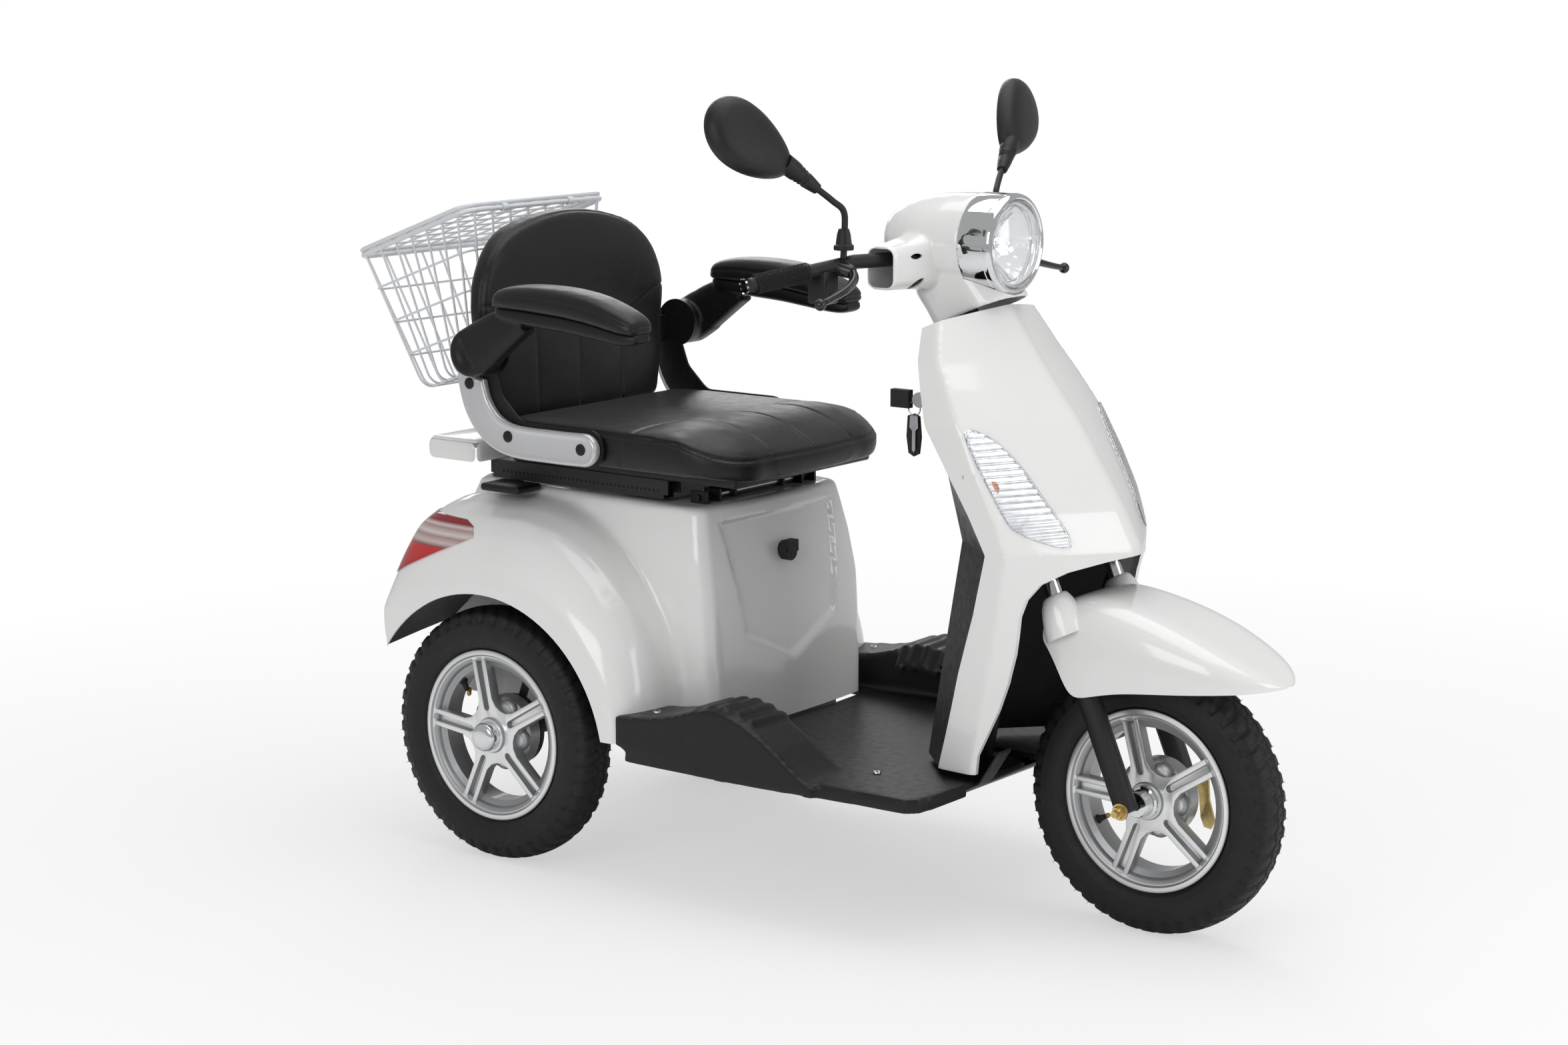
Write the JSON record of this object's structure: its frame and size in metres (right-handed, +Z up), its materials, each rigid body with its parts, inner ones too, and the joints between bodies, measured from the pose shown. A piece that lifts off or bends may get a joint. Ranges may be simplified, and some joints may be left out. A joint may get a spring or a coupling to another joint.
{
  "type": "three-wheel mobility scooter",
  "caption": "Electric mobility scooter with a steered front wheel, driven rear wheels, stepped floor, leg shield, tilting armchair seat and lidded wire basket.",
  "frame": {"origin": "on the ground under the middle of the overall length, on the centre line", "axes": "+X forward, +Y to the rider's left, +Z up"},
  "size_m": [1.718, 0.8764, 1.2738],
  "materials": {
    "body_white": "warm white glossy moulded plastic",
    "alloy": "silver cast wheel with machined faces",
    "tyre": "black block-tread road tyre",
    "black_steel": "satin black painted steel",
    "zinc_steel": "yellow zinc plated steel",
    "battery_case": "dark battery case",
    "red_lens": "red and clear lamp lens",
    "clear_lens": "clear fluted lamp lens",
    "black_plastic": "satin black moulded plastic",
    "black_rubber": "matt black rubber",
    "chrome": "bright chrome bezel",
    "black_leather": "black grained synthetic leather",
    "silver_paint": "satin silver paint",
    "white_wire": "white powder coated steel wire"
  },
  "bodies": {
    "chassis": {"frame": "black_steel", "rear_frame": "black_steel", "rear_axle": "black_steel", "rear_brakes": "zinc_steel", "rear_shocks": "black_steel", "battery": "battery_case", "rear_body": "body_white", "tail_lamps": "red_lens", "carrier": "body_white", "carrier_bracket": "black_steel", "wheel_liners": "black_plastic", "footboard": "black_plastic", "leg_shield": "body_white", "inner_shield": "black_plastic", "turn_signals": "clear_lens", "charging_socket": "black_plastic", "ignition_lock": "black_plastic", "seat_hinges": "black_steel", "seat_buffers": "black_rubber", "lower_skirt": "black_plastic"},
    "steering": {"fork": "black_steel", "front_fender": "body_white", "handlebar_cowl": "body_white", "headlight": "chrome", "handlebar": "black_steel", "grips": "black_rubber", "brake_levers": "black_steel", "mirrors": "black_plastic"},
    "front_wheel": {"front_rim": "alloy", "front_tyre": "tyre"},
    "rear_wheel_right": {"rear_right_rim": "alloy", "rear_right_tyre": "tyre"},
    "rear_wheel_left": {"rear_left_rim": "alloy", "rear_left_tyre": "tyre"},
    "seat": {"seat_frame": "black_steel", "seat_cushion": "black_leather", "backrest": "black_leather", "arm_carriers": "black_plastic", "arm_covers": "silver_paint", "basket_bracket": "black_steel", "basket": "white_wire"},
    "armrest_right": {"armrest_right": "black_plastic", "armrest_pad_right": "black_leather"},
    "armrest_left": {"armrest_left": "black_plastic", "armrest_pad_left": "black_leather"},
    "basket_lid": {"basket_lid": "white_wire"}
  },
  "joints": [
    {"name": "steering_turn", "type": "hinge", "parent": "chassis", "child": "steering", "pos_m": [0.39525, 0, 0.67125], "axis": [-0.3907, 0, 0.9205], "range_deg": [-35, 35]},
    {"name": "front_wheel_spin", "type": "hinge", "parent": "steering", "child": "front_wheel", "pos_m": [0.6395, 0, 0.211], "axis": [0, 1, 0], "continuous": true},
    {"name": "rear_wheel_right_spin", "type": "hinge", "parent": "chassis", "child": "rear_wheel_right", "pos_m": [-0.4265, -0.296, 0.211], "axis": [0, 1, 0], "continuous": true},
    {"name": "rear_wheel_left_spin", "type": "hinge", "parent": "chassis", "child": "rear_wheel_left", "pos_m": [-0.4265, 0.296, 0.211], "axis": [0, 1, 0], "continuous": true},
    {"name": "seat_tilt", "type": "hinge", "parent": "chassis", "child": "seat", "pos_m": [-0.1325, 0, 0.612], "axis": [0, 1, 0], "range_deg": [0, 35]},
    {"name": "armrest_right_fold", "type": "hinge", "parent": "seat", "child": "armrest_right", "pos_m": [-0.4915, -0.272, 0.834], "axis": [0, -1, 0], "range_deg": [0, 95]},
    {"name": "armrest_left_fold", "type": "hinge", "parent": "seat", "child": "armrest_left", "pos_m": [-0.4915, 0.272, 0.834], "axis": [0, -1, 0], "range_deg": [0, 95]},
    {"name": "basket_lid_hinge", "type": "hinge", "parent": "seat", "child": "basket_lid", "pos_m": [-0.6005, 0, 1.052], "axis": [0, 1, 0], "range_deg": [0, 95]}
  ]
}
